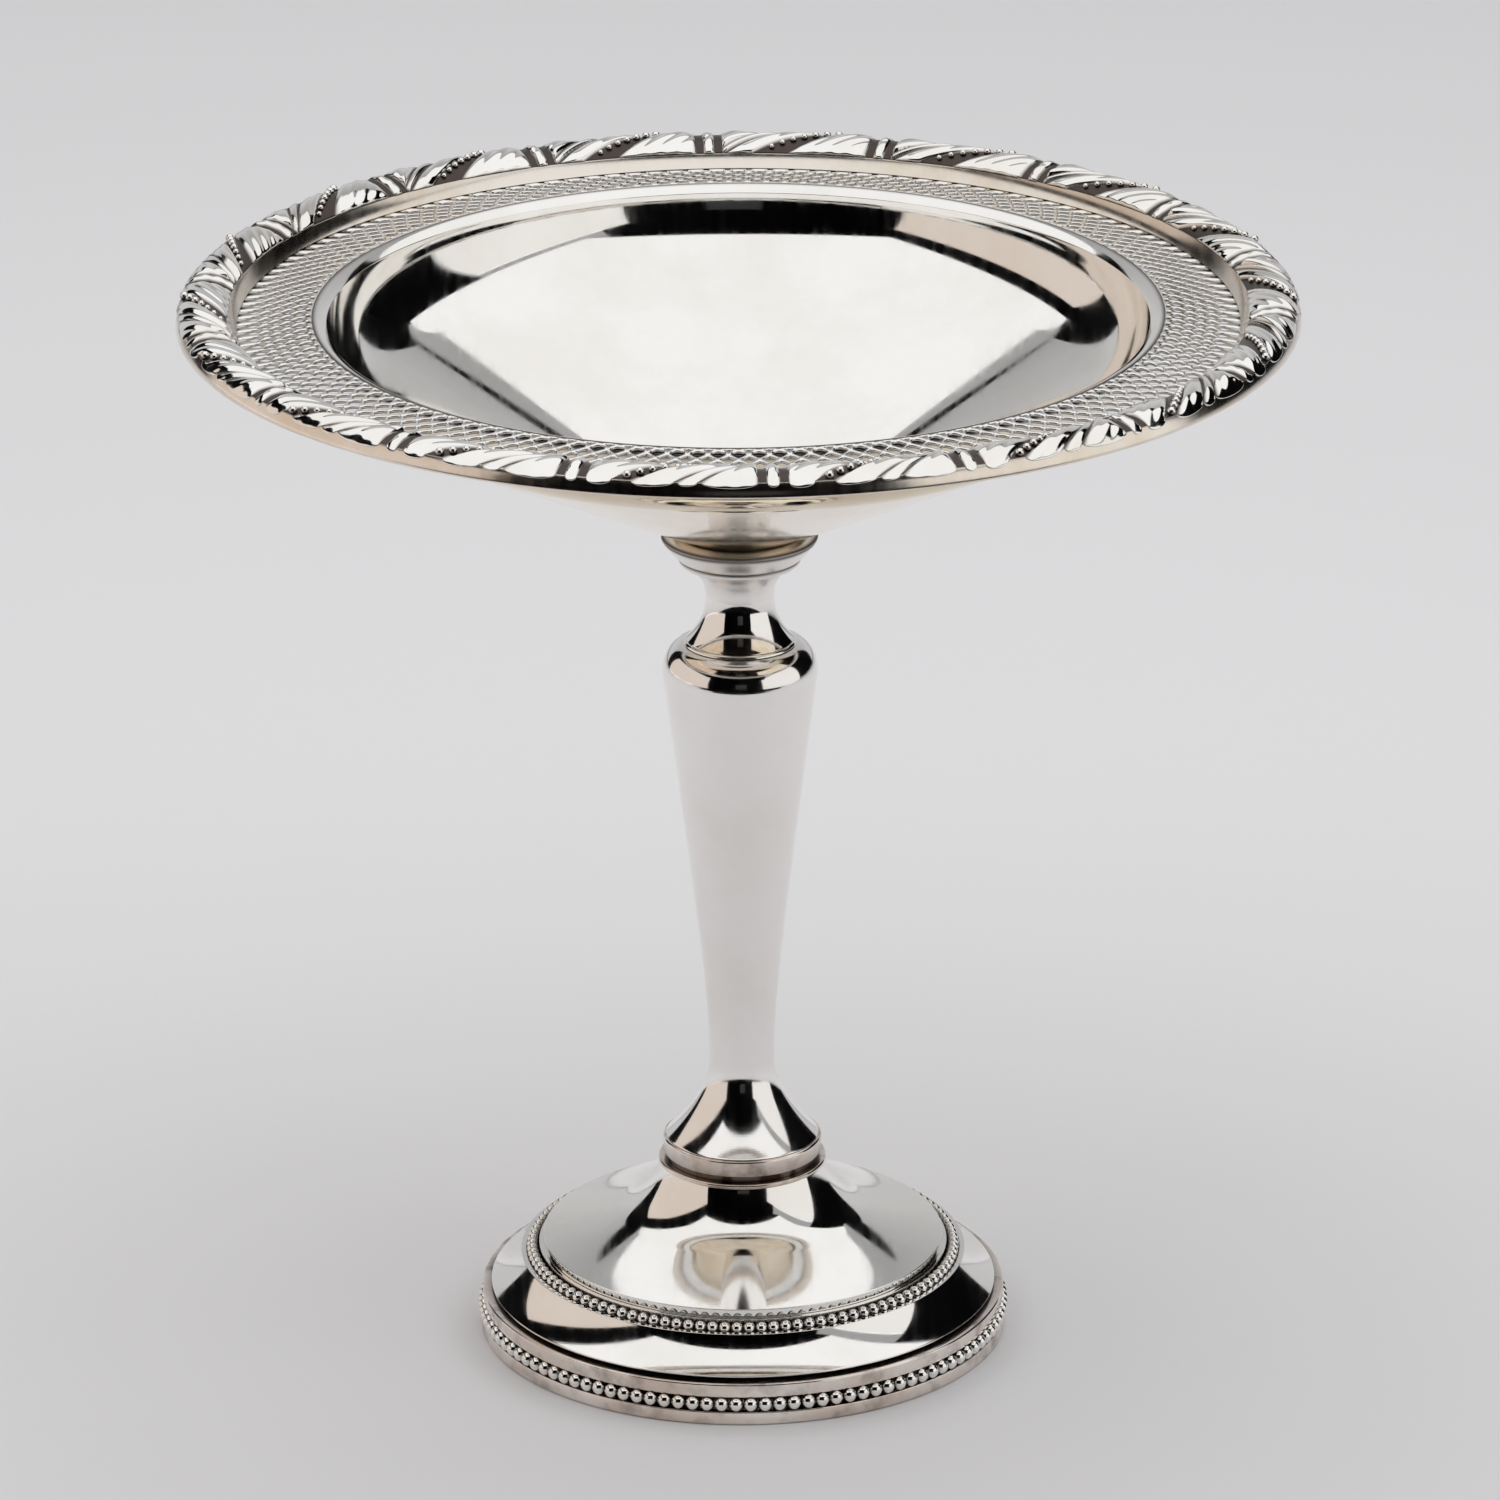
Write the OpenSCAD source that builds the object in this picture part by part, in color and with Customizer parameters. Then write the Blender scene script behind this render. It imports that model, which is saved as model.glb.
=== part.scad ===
// Footed compote bowl: a pierced dish on a tall weighted stem and a stepped round foot.
// The origin is the centre of the ring that stands on the table, +Z is up, sizes are millimetres.

/* [Bowl] */
// Slope of the well's conical floor, in degrees
well_slope = 26; // [22:0.2:31]
// Radius of the bend between the floor and the wall of the well
bouge_r = 13; // [10:0.5:20]
// Slope of the wall where it meets the lip, in degrees
wall_lean = 85; // [70:1:88]
// Width of the lip's bright slope
lip_w = 2; // [1.4:0.1:3]
// Height that the lip's slope rises outward
lip_rise = 0.9; // [0.6:0.05:1.4]
// Flat spot in the middle of the well, across
floor_d = 10; // [6:0.5:16]
// Thickness of the bowl's sheet
bowl_t = 0.7; // [0.5:0.1:1.3]

/* [Pierced gallery] */
// Width of the gallery, from the lip to the rim band
gallery_w = 11.4; // [8:0.1:15]
// Number of arches round the gallery
arch_n = 140; // [110:1:160]
// Rows of openings between the half moons and the outer band
row_n = 5; // [3:1:6]
// Width of the net's ribs
rib_w = 0.5; // [0.4:0.05:0.8]
// Thickness of the gallery
gallery_t = 0.6; // [0.5:0.1:1.3]
// How far the gallery's face lies under the lip's top
gallery_drop = 0.5; // [0.2:0.1:0.9]
// Plain band outside the piercing
outer_band_w = 2.1; // [1:0.1:3]

/* [Rim] */
// Diameter over the rim band
rim_d = 152.4; // [148:0.2:164]
// Width of the rim band, from the gallery to the outer wall
rim_w = 7; // [6:0.1:9]
// Height of the rim band's seat over the gallery's face, at its inner edge
rim_seat_h = 1.2; // [1:0.05:2]
// Height that the seat rises towards the outer wall
rim_seat_rise = 0.65; // [0.2:0.05:1]
// Height of the rim band's smooth outer wall
rim_wall_h = 1.8; // [1.4:0.05:2.4]
// How far the outer wall leans inward at its top
rim_wall_in = 0.62; // [0.3:0.02:1]
// Number of times the border's motif repeats
motif_n = 18; // [14:1:22]
// Height of the border's body over its seat
border_h = 0.9; // [0.6:0.05:1.8]
// Height that the lobes, leaves and pearls stand out
relief_h = 0.9; // [0.3:0.05:1.2]

/* [Stem] */
// Diameter of the cup under the bowl, at its sharp edge
cup_d = 21.5; // [18:0.1:28]
// Height of the cup from the neck to its sharp edge
cup_h = 8.4; // [7:0.1:11]
// Height of the cup's low cone over its sharp edge
cup_band_h = 0.65; // [0.4:0.05:1.5]
// Width of the cup's swelling brim, from its sharp edge to its small ring
cup_brim_w = 2.45; // [1.5:0.05:3.5]
// Height of the cup's hollow foot, from the neck to its small ring
cup_foot_h = 4.7; // [3.5:0.1:5.5]
// Height of the cup's small ring
cup_ring_h = 0.9; // [0.6:0.05:1.4]
// Diameter of the neck at its narrowest
neck_d = 9.44; // [8:0.1:12]
// Height of the neck
neck_h = 6.4; // [5:0.1:9]
// Diameter of the thin flange under the neck
flange_d = 15.5; // [14:0.1:18]
// Thickness of the thin flange
flange_h = 0.5; // [0.4:0.05:1]
// Height of the shaft from the ring to the flange
shaft_h = 72.8; // [60:0.5:90]
// Diameter of the shaft's rounded shoulder
shoulder_d = 20.2; // [17:0.1:24]
// Height of the rounded shoulder
shoulder_h = 4.1; // [3:0.1:6]
// Diameter of the shaft's waist
waist_d = 9.04; // [8:0.1:11]
// Height of the flare at the shaft's lower end
flare_h = 14; // [10:0.5:20]
// Height over which the flare loses about two thirds of its width
flare_fall = 3.3; // [2.5:0.05:5]
// Diameter of the rounded ring under the shaft
ring_d = 22.1; // [20:0.1:26]
// Height of the ring
ring_h = 3.2; // [2.4:0.1:4.4]

/* [Foot] */
// How far the collar stands out past the ring
collar_step = 0.68; // [0.3:0.02:1]
// Thickness of the collar
collar_h = 0.67; // [0.5:0.01:1.2]
// Height of the dome from its lip to the collar
dome_h = 10.97; // [8:0.1:14]
// Height over which the dome loses about two thirds of its spread
dome_fall = 4.4; // [3:0.1:6]
// Height of the dome's upright lip
dome_lip_h = 1.15; // [0.8:0.05:2]
// Set-back of the dome's lip from the bead seat
dome_step = 0.6; // [0.3:0.05:1]
// Number of beads in the upper wire
upper_bead_n = 110; // [90:1:130]
// Width of the hollow skirt
skirt_w = 3.58; // [2.5:0.05:5]
// Height of the hollow skirt
skirt_h = 4.43; // [3.5:0.05:5.5]
// How far the skirt's lip stands inside the plain base
skirt_inset = 1.57; // [1.2:0.05:2.2]
// Height of the dark groove under the skirt's lip
groove_h = 0.6; // [0.4:0.05:1]
// Height of the rounded base band
base_band_h = 1.45; // [1:0.05:2]
// Number of beads in the lower wire
lower_bead_n = 114; // [95:1:130]
// Diameter of the plain rim that stands on the table
base_d = 73.7; // [68:0.1:80]
// Height of the plain rim
base_rim_h = 1.9; // [1.5:0.1:3]

/* [Walls and core] */
// Thickness of the spun shells of the stem and foot
shell_t = 0.6; // [0.5:0.05:0.9]
// Thickness of the spigots and necks that the foot's rings slide together on
spigot_t = 0.8; // [0.6:0.05:1.2]
// Diameter of the steel rod inside the stem
rod_d = 4; // [3:0.1:5]
// Thickness of the closing disc under the foot
disc_t = 0.8; // [0.5:0.05:1]
// How far the closing disc lies above the table
disc_recess = 0.45; // [0.3:0.05:0.6]
// Solder seam between two pieces
seam = 0.03; // [0.02:0.01:0.06]

/* [Hidden] */
$fn = 120;
silver = [0.86, 0.85, 0.83];
tarnished = [0.74, 0.70, 0.62];
bead_lap = 1.03;

// Plain rim and lower beads, from the table up
base_r = base_d / 2;
base_wall = 1.6;
base_edge_r = 0.4;
lower_bead_set = 0.6;
lower_bead_r = base_r - lower_bead_set;
lower_bead_d = 2 * PI * lower_bead_r / lower_bead_n * bead_lap;
disc_top = disc_recess + disc_t;
ledge_z = disc_top + seam;

// Base band, whose neck passes behind the lower beads
band_neck_r = lower_bead_r - lower_bead_d / 2 - seam;
band_bore_r = band_neck_r - spigot_t;
band_z = base_rim_h + lower_bead_d + 2 * seam;
band_top = band_z + base_band_h;
band_line = 0.33;
band_line_step = 0.1;
band_out = 0.25;
band_turn = 50;

// Skirt, whose spigot stands inside the base band on the plain rim's ledge
spigot_r = band_bore_r - seam;
spigot_bore_r = spigot_r - spigot_t;
ledge_r = spigot_r - spigot_t / 2;
skirt_r = base_r - skirt_inset;
skirt_lip_z = band_top + groove_h;
skirt_lip_top = skirt_lip_z + shell_t;
skirt_lip_t = 0.2;
skirt_top_r = skirt_r - skirt_w;
skirt_top_z = skirt_lip_top + skirt_h;
skirt_turn = 42;

// Upper beads, sunk in the skirt's top round its neck, and the dome that stands on that neck
upper_bead_set = 2.25;
bead_sink = 0.65;
bead_seat_z = skirt_top_z - bead_sink;
upper_bead_r = skirt_top_r - upper_bead_set;
upper_bead_d = 2 * PI * upper_bead_r / upper_bead_n * bead_lap;
bead_wall_r = upper_bead_r + upper_bead_d / 2 + seam;
skirt_neck_r = upper_bead_r - upper_bead_d / 2 - seam;
skirt_neck_top = bead_seat_z + upper_bead_d + 2 * seam;
dome_r = skirt_neck_r - dome_step;
skirt_bore_r = dome_r - spigot_t;
dome_spigot_h = 1.2;
dome_z = skirt_neck_top + seam;
dome_lip_top = dome_z + dome_lip_h;
dome_top = dome_lip_top + dome_h;

// Collar and stem ring
ring_r = ring_d / 2;
dome_neck_r = ring_r + collar_step / 2;
collar_r = ring_r + collar_step;
collar_z = dome_top + seam;
ring_z = collar_z + collar_h + seam;
ring_top = ring_z + ring_h;
ring_recess = 0.45;
ring_foot_h = 0.85;
ring_lean = 0.12;
ring_edge_r = 0.35;
ring_spigot_h = 1.3;

// Shaft: flare, waist, taper and shoulder
shaft_z = ring_top + seam;
shaft_top = shaft_z + shaft_h;
waist_r = waist_d / 2;
flare_r = ring_r - ring_edge_r;
flare_top = shaft_z + flare_h;
shoulder_r = shoulder_d / 2;
shoulder_z = shaft_top - shoulder_h;
taper_softness = 0.2;

// How far the flare stands out past the waist at a height over the ring
function flare_out(h) =
  let (tail = exp(-flare_h / flare_fall))
  (flare_r - waist_r) * (exp(-h / flare_fall) - tail) / (1 - tail);

// Ring spigot inside the shaft's flare, and the hole through it for the weighting
ring_spigot_r = waist_r + flare_out(ring_spigot_h + shell_t) - shell_t - seam;
plug_r = ring_spigot_r - spigot_t;

// Flange, neck and cup
flange_r = flange_d / 2;
shoulder_step = 0.15;
shoulder_top_r = flange_r - shoulder_step;
flange_z = shaft_top + seam;
neck_z = flange_z + flange_h + seam;
neck_r = neck_d / 2;
neck_wall = 1.1;
neck_bore_r = neck_r - neck_wall;
neck_step = 0.4;
neck_foot_r = flange_r - neck_step;
neck_turn = 2 * atan((neck_foot_r - neck_r) / neck_h);
cup_z = neck_z + neck_h + seam;
cup_r = cup_d / 2;
cup_edge_z = cup_z + cup_h;
cup_top_z = cup_edge_z + cup_band_h;
cup_band_in = 2.15;
cup_band_turn = 10;
cup_top_r = cup_r - cup_band_in;
cup_brim_turn = 18;
cup_ring_r = cup_r - cup_brim_w;
cup_ring_in = 0.45;
cup_ring_turn = 70;
cup_ring_z = cup_z + cup_foot_h;
cup_foot_turn = 40;
rod_r = rod_d / 2;
rod_in_cup = 4.6;

// Gallery and well, from the rim inward
rim_r = rim_d / 2;
gallery_out = rim_r - rim_w;
gallery_in = gallery_out - gallery_w;
well_r = gallery_in - lip_w;

// Bowl: the underside of its conical floor meets the top of the cup
floor_r = floor_d / 2;
floor_z = cup_top_z + seam - (cup_top_r - floor_r) * tan(well_slope) + bowl_t / cos(well_slope);
under_floor_r = floor_r + bowl_t * tan(well_slope / 2);
bend_r = well_r - bouge_r * (sin(wall_lean) - sin(well_slope));
bend_z = floor_z + (bend_r - floor_r) * tan(well_slope);
lip_z = bend_z + bouge_r * (cos(well_slope) - cos(wall_lean));
bouge_c = [well_r - bouge_r * sin(wall_lean), lip_z + bouge_r * cos(wall_lean)];
lip_turn = 30;
lip_top = lip_z + lip_rise;

// Piercing of the gallery
gallery_top = lip_top - gallery_drop;
gallery_z = gallery_top - gallery_t;
shelf_w = 0.9;
shelf_t = 0.6;
edge_rib = 0.3;
row_step = (gallery_out - outer_band_w - gallery_in - edge_rib) / (row_n + 1);
moon_h = 0.55;

// Rim band and its border
rim_in = gallery_out + seam;
rim_seat_in = [rim_in, gallery_top + rim_seat_h];
rim_seat_out = [rim_r - rim_wall_in, rim_seat_in[1] + rim_seat_rise];
rim_wall_z = rim_seat_out[1] - rim_wall_h;
rim_wall_turn = 30;
rim_edge_r = 0.25;
rim_hollow = 60;
border_set = 0.08;
border_in = rim_in + border_set;
border_out = rim_seat_out[0] - border_set;
motif_turn = 3.4;
motif_skew = 0.33;
cell_steps = 4;
border_rows = 8;

// Points of an elliptical arc
function ellipse_arc(c, a, b, t0, t1, n = 12) =
  [for (i = [0 : n]) let (t = t0 + (t1 - t0) * i / n) [c[0] + a * cos(t), c[1] + b * sin(t)]];

// Points of a circular arc from p to q whose direction turns by an angle, counter-clockwise if positive
function bow(p, q, turn, n = 10) =
  let (
    d = q - p,
    h0 = atan2(d[1], d[0]) - turn / 2,
    r = norm(d) / (2 * sin(turn / 2)),
    c = p + r * [-sin(h0), cos(h0)]
  )
  [for (i = [0 : n]) let (h = h0 + turn * i / n) c + r * [sin(h), -cos(h)]];

// The shaft's outside from its flare to the foot of its shoulder, moved inward by t
function shaft_side(t) = concat(
  [for (i = [0 : 13]) let (h = flare_h * pow(i / 14, 1.6), a = atan(flare_out(h) / flare_fall))
    [waist_r + flare_out(h) - t * cos(a), shaft_z + h - t * sin(a)]],
  [for (i = [0 : 12]) let (u = i / 12, k = taper_softness)
    [waist_r - t + (shoulder_r - waist_r) * (sqrt(u * u + k * k) - k) / (sqrt(1 + k * k) - k),
     flare_top + (shoulder_z - flare_top) * u]]);

// The shaft's shoulder, moved inward by t
function shoulder_side(t) =
  ellipse_arc([shoulder_top_r, shoulder_z], shoulder_r - shoulder_top_r - t, shoulder_h - t, 0, 90);

// The dome's hollow outside from its lip to its neck, moved inward by t
function dome_side(t) =
  let (spread = (dome_r - dome_neck_r) / (1 - exp(-dome_h / dome_fall)))
  [for (i = [0 : 18])
    let (h = dome_h * pow(i / 18, 1.4), fall = exp(-h / dome_fall), a = atan(spread * fall / dome_fall))
    [dome_r - spread * (1 - fall) - t * cos(a), dome_lip_top + h - t * sin(a)]];

// The corner under the dome's flat top, moved inward by t
function dome_corner(t) = [dome_neck_r - 2 * t, dome_top - t];

// The skirt's hollow outside from its lip to its top edge, moved inward by t
function skirt_side(t) =
  let (
    face = atan2(skirt_w, skirt_h),
    lip_face = face + skirt_turn / 2,
    top_face = face - skirt_turn / 2
  )
  bow([skirt_r, skirt_lip_top] - t * [cos(lip_face), sin(lip_face)],
    [skirt_top_r, skirt_top_z] - t * [cos(top_face), sin(top_face)], -skirt_turn);

// The well's inside from the edge of its flat floor to the lip, moved outward by t
function well_side(t) = concat(
  [[floor_r + t * tan(well_slope / 2), floor_z - t]],
  ellipse_arc(bouge_c, bouge_r + t, bouge_r + t, well_slope - 90, wall_lean - 90));

// Height of the rim band's sloped seat at a radius
function seat_z(r) =
  rim_seat_in[1] + rim_seat_rise * (r - rim_seat_in[0]) / (rim_seat_out[0] - rim_seat_in[0]);

function reversed(v) = [for (i = [len(v) - 1 : -1 : 0]) v[i]];

// Lines between the border's cells, in parts of a motif: w runs 0 to 1 from its inner to its outer edge
function cell_line(w) =
  let (s = motif_skew * (1 - w))
  [-0.04, 0.04, 0.2 + 0.97 * s, 0.305 + s, 0.53 + s, min(0.93, 0.64 + 1.15 * s), 0.96];

// Height of each cell: rib, large lobe, pearl string, leaf, thin leaf, pointed lobe
cell_h = [0.8, 1, 0.85, 0.9, 0.65, 1];
cells = len(cell_h);
pearl_cell = 2;

module revolve(points) {
  rotate_extrude()
    polygon(points);
}

module bowl() {
  ledge = gallery_z - seam;
  color(silver)
    revolve(concat(
      [[0, floor_z]],
      well_side(0),
      bow([well_r, lip_z], [gallery_in - seam, lip_top], -lip_turn, 6),
      [[gallery_in - seam, ledge],
       [gallery_in + shelf_w, ledge],
       [gallery_in + shelf_w, ledge - shelf_t]],
      [for (p = reversed(well_side(bowl_t))) if (p[1] < ledge - shelf_t) p],
      [[0, floor_z - bowl_t]]));
}

module pierced_row(r, half_l, half_w, turn) {
  for (i = [0 : arch_n - 1])
    rotate((i + turn) * 360 / arch_n)
      translate([r, 0])
        polygon([[-half_l, 0], [0, -half_w], [half_l, 0], [0, half_w]]);
}

module half_moons() {
  half_w = PI * gallery_in / arch_n - rib_w;
  for (i = [0 : arch_n - 1])
    rotate((i + 0.5) * 360 / arch_n)
      translate([gallery_in + edge_rib, 0])
        polygon([[0, -half_w], [moon_h, 0], [0, half_w]]);
}

module pierced_gallery() {
  color(silver)
    translate([0, 0, gallery_z])
      linear_extrude(gallery_t)
        difference() {
          circle(gallery_out);
          circle(gallery_in);
          half_moons();
          for (k = [0 : row_n - 1]) {
            r = gallery_in + edge_rib + row_step * (k + 1);
            half_w = PI * r / arch_n;
            left = 1 - rib_w / 2 * norm([row_step, half_w]) / (row_step * half_w);
            pierced_row(r, row_step * left, half_w * left, (k % 2) / 2);
          }
        }
}

module rim_band() {
  shelf_z = gallery_z - seam;
  color(tarnished)
    revolve(concat(
      [[gallery_out - shelf_w, shelf_z - shelf_t]],
      bow([gallery_out + shelf_t, shelf_z - shelf_t],
        [rim_r - rim_edge_r, rim_wall_z - rim_edge_r], -rim_hollow),
      ellipse_arc([rim_r - rim_edge_r, rim_wall_z], rim_edge_r, rim_edge_r, -75, -15, 4),
      bow([rim_r, rim_wall_z], rim_seat_out, rim_wall_turn),
      [rim_seat_in,
       [rim_in, shelf_z],
       [gallery_out - shelf_w, shelf_z]]));
}

module rim_border() {
  rows = border_rows + 3;
  motif_steps = cells * cell_steps;
  steps = motif_n * motif_steps;
  points = [for (i = [0 : steps - 1], j = [0 : rows - 1])
    let (
      w = min(1, max(0, (j - 1) / border_rows)),
      cell = floor(i % motif_steps / cell_steps),
      u = (i % cell_steps) / cell_steps,
      line = cell_line(w),
      x = floor(i / motif_steps) + line[cell] + (line[cell + 1] - line[cell]) * u,
      a = motif_turn + 360 * x / motif_n,
      r = border_in + (border_out - border_in) * w,
      pearl = cell == pearl_cell && j % 2 == 1 ? 0.5 : 1,
      swell = cell_h[cell] * sqrt(1 - pow(2 * u - 1, 2)) * pearl,
      body = border_h * (0.3 + 0.7 * sin(180 * w)),
      h = j > 0 && j < rows - 1 ? body + relief_h * swell * sin(20 + 140 * w) : 0
    )
    [r * sin(a), -r * cos(a), seat_z(r) + seam + h]];
  faces = [for (i = [0 : steps - 1], j = [0 : rows - 1])
    let (n = (i + 1) % steps, k = (j + 1) % rows)
    each [[i * rows + j, n * rows + k, n * rows + j], [i * rows + j, i * rows + k, n * rows + k]]];
  color(silver)
    polyhedron(points, faces);
}

module bowl_cup() {
  floor_under = floor_z - bowl_t - seam;
  color(silver)
    revolve(concat(
      [[0, cup_z + rod_in_cup + seam],
       [rod_r + seam, cup_z + rod_in_cup + seam],
       [rod_r + seam, cup_z]],
      bow([neck_r, cup_z], [cup_ring_r - cup_ring_in, cup_ring_z], -cup_foot_turn),
      bow([cup_ring_r - cup_ring_in / 2, cup_ring_z],
        [cup_ring_r, cup_ring_z + cup_ring_h], cup_ring_turn, 6),
      bow([cup_ring_r + cup_ring_in / 2, cup_ring_z + cup_ring_h], [cup_r, cup_edge_z], cup_brim_turn),
      bow([cup_r, cup_edge_z], [cup_top_r, cup_top_z], cup_band_turn, 6),
      [[under_floor_r, floor_under],
       [0, floor_under]]));
}

module stem_neck() {
  color(silver)
    revolve(concat(
      [[neck_bore_r, neck_z]],
      bow([neck_foot_r, neck_z], [neck_r, neck_z + neck_h], -neck_turn),
      [[neck_bore_r, neck_z + neck_h]]));
}

module neck_flange() {
  edge = flange_h / 2;
  color(silver)
    revolve(concat(
      [[neck_bore_r, flange_z]],
      ellipse_arc([flange_r - edge, flange_z + edge], edge, edge, -90, 90, 6),
      [[neck_bore_r, flange_z + flange_h]]));
}

module stem_shaft() {
  color(silver)
    revolve(concat(
      shaft_side(0),
      shoulder_side(0),
      [[neck_bore_r, shaft_top],
       [neck_bore_r, shaft_top - shell_t]],
      reversed(shoulder_side(shell_t)),
      [for (p = reversed(shaft_side(shell_t))) if (p[1] > shaft_z) p],
      [[flare_r - 2 * shell_t, shaft_z]]));
}

module stem_ring() {
  spigot_top = ring_top + ring_spigot_h;
  color(silver)
    revolve(concat(
      [[plug_r, ring_z],
       [ring_r - ring_recess, ring_z],
       [ring_r - ring_recess, ring_z + ring_foot_h],
       [ring_r - ring_lean, ring_z + ring_foot_h]],
      ellipse_arc([flare_r, ring_top - ring_edge_r], ring_edge_r, ring_edge_r, 0, 90, 6),
      [[ring_spigot_r, ring_top],
       [ring_spigot_r, spigot_top],
       [plug_r, spigot_top]]));
}

module foot_collar() {
  edge = collar_h / 2;
  color(silver)
    revolve(concat(
      [[plug_r, collar_z]],
      ellipse_arc([collar_r - edge, collar_z + edge], edge, edge, -90, 90, 6),
      [[plug_r, collar_z + collar_h]]));
}

module foot_dome() {
  spigot = skirt_bore_r - seam;
  color(silver)
    revolve(concat(
      [[spigot, dome_z],
       [dome_r, dome_z]],
      dome_side(0),
      [[plug_r, dome_top],
       [plug_r, dome_top - shell_t],
       dome_corner(shell_t)],
      [for (p = reversed(dome_side(shell_t))) if (p[1] < dome_top - shell_t && p[0] < spigot - spigot_t) p],
      [[spigot - spigot_t, dome_lip_top - shell_t],
       [spigot - spigot_t, dome_z - dome_spigot_h],
       [spigot, dome_z - dome_spigot_h]]));
}

module bead_wire(n, r, d, z) {
  for (i = [0 : n - 1])
    rotate(360 * i / n)
      translate([r, 0, z])
        sphere(d = d, $fn = 24);
}

module upper_bead_wire() {
  color(silver)
    bead_wire(upper_bead_n, upper_bead_r, upper_bead_d, bead_seat_z + seam + upper_bead_d / 2);
}

module foot_skirt() {
  color(silver)
    revolve(concat(
      [[spigot_r, base_rim_h + seam],
       [spigot_r, skirt_lip_z],
       [skirt_r, skirt_lip_top - skirt_lip_t]],
      skirt_side(0),
      [[bead_wall_r, skirt_top_z],
       [bead_wall_r, bead_seat_z],
       [skirt_neck_r, bead_seat_z],
       [skirt_neck_r, skirt_neck_top],
       [skirt_bore_r, skirt_neck_top],
       [skirt_bore_r, bead_seat_z - shell_t]],
      [for (p = reversed(skirt_side(shell_t))) if (p[0] < spigot_bore_r && p[1] < bead_seat_z - shell_t) p],
      [[spigot_bore_r, skirt_lip_z],
       [spigot_bore_r, base_rim_h + seam]]));
}

module base_band() {
  color(tarnished)
    revolve(concat(
      [[band_bore_r, base_rim_h + seam],
       [band_neck_r, base_rim_h + seam],
       [band_neck_r, band_z]],
      bow([base_r + band_out, band_z], [base_r - band_line, band_top - band_line], band_turn, 6),
      [[base_r - band_line - band_line_step, band_top - band_line],
       [base_r - 2 * band_line, band_top],
       [band_bore_r, band_top]]));
}

module lower_bead_wire() {
  color(silver)
    bead_wire(lower_bead_n, lower_bead_r, lower_bead_d, base_rim_h + seam + lower_bead_d / 2);
}

module base_rim() {
  color(tarnished)
    revolve(concat(
      [[base_r - base_wall, 0]],
      ellipse_arc([base_r - base_edge_r, base_edge_r], base_edge_r, base_edge_r, -90, 0, 6),
      [[base_r, base_rim_h],
       [ledge_r, base_rim_h],
       [ledge_r, ledge_z],
       [base_r - base_wall, ledge_z]]));
}

module core_rod() {
  color("gray")
    translate([0, 0, ledge_z + seam])
      cylinder(r = rod_r, h = cup_z + rod_in_cup - ledge_z - seam);
}

module stem_fill() {
  color("dimgray")
    revolve(concat(
      [[rod_r + seam, dome_top - shell_t],
       [plug_r - seam, dome_top - shell_t],
       [plug_r - seam, ring_top + ring_spigot_h + seam]],
      [for (p = shaft_side(shell_t)) if (p[1] > ring_top + ring_spigot_h + seam) p - [seam, 0]],
      [for (p = shoulder_side(shell_t + seam)) if (p[0] > neck_bore_r) p],
      [[neck_bore_r - seam, shaft_top - shell_t - seam],
       [neck_bore_r - seam, cup_z - seam],
       [rod_r + seam, cup_z - seam]]));
}

module foot_fill() {
  spigot = skirt_bore_r - seam - spigot_t - seam;
  color("gainsboro")
    revolve(concat(
      [[rod_r + seam, ledge_z],
       [ledge_r - seam, ledge_z],
       [ledge_r - seam, base_rim_h],
       [spigot_bore_r - seam, base_rim_h],
       [spigot_bore_r - seam, skirt_lip_z]],
      [for (p = skirt_side(shell_t + seam))
        if (p[0] < spigot_bore_r - seam && p[1] < bead_seat_z - shell_t - seam) p],
      [[skirt_bore_r - seam, bead_seat_z - shell_t - seam],
       [spigot, dome_z - dome_spigot_h - seam],
       [spigot, dome_lip_top - shell_t - seam]],
      [for (p = dome_side(shell_t + seam)) if (p[0] < spigot && p[1] < dome_top - shell_t - seam) p],
      [dome_corner(shell_t + seam),
       [rod_r + seam, dome_top - shell_t - seam]]));
}

module base_disc() {
  color("darkgreen")
    translate([0, 0, disc_recess])
      cylinder(r = base_r - base_wall - seam, h = disc_t);
}

bowl();
pierced_gallery();
rim_band();
rim_border();
bowl_cup();
stem_neck();
neck_flange();
stem_shaft();
stem_ring();
foot_collar();
foot_dome();
upper_bead_wire();
foot_skirt();
base_band();
lower_bead_wire();
base_rim();
core_rod();
stem_fill();
foot_fill();
base_disc();
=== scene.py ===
import math

import bpy
import numpy as np
from mathutils import Matrix, Vector, geometry


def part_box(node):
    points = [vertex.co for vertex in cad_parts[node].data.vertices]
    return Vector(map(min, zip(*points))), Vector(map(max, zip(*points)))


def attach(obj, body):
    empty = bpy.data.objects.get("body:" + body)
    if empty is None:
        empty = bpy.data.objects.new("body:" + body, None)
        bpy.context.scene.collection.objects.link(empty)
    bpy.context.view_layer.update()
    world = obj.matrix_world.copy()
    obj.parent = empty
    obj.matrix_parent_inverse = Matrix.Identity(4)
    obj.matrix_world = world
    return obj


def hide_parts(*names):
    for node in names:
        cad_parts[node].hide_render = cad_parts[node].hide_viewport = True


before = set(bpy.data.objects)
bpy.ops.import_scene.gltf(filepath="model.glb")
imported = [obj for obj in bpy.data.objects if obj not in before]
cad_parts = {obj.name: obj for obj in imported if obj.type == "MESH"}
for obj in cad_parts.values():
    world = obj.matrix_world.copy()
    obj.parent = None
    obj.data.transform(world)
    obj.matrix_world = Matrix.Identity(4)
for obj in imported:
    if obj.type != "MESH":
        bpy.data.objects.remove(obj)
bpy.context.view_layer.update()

# Lengths are in millimetres until a mesh or a stage piece is made
MM = 0.001
SEAM = 0.03


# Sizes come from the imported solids
def low(node):
    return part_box(node)[0].z / MM


def top(node):
    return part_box(node)[1].z / MM


def rad(node):
    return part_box(node)[1].x / MM


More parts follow.
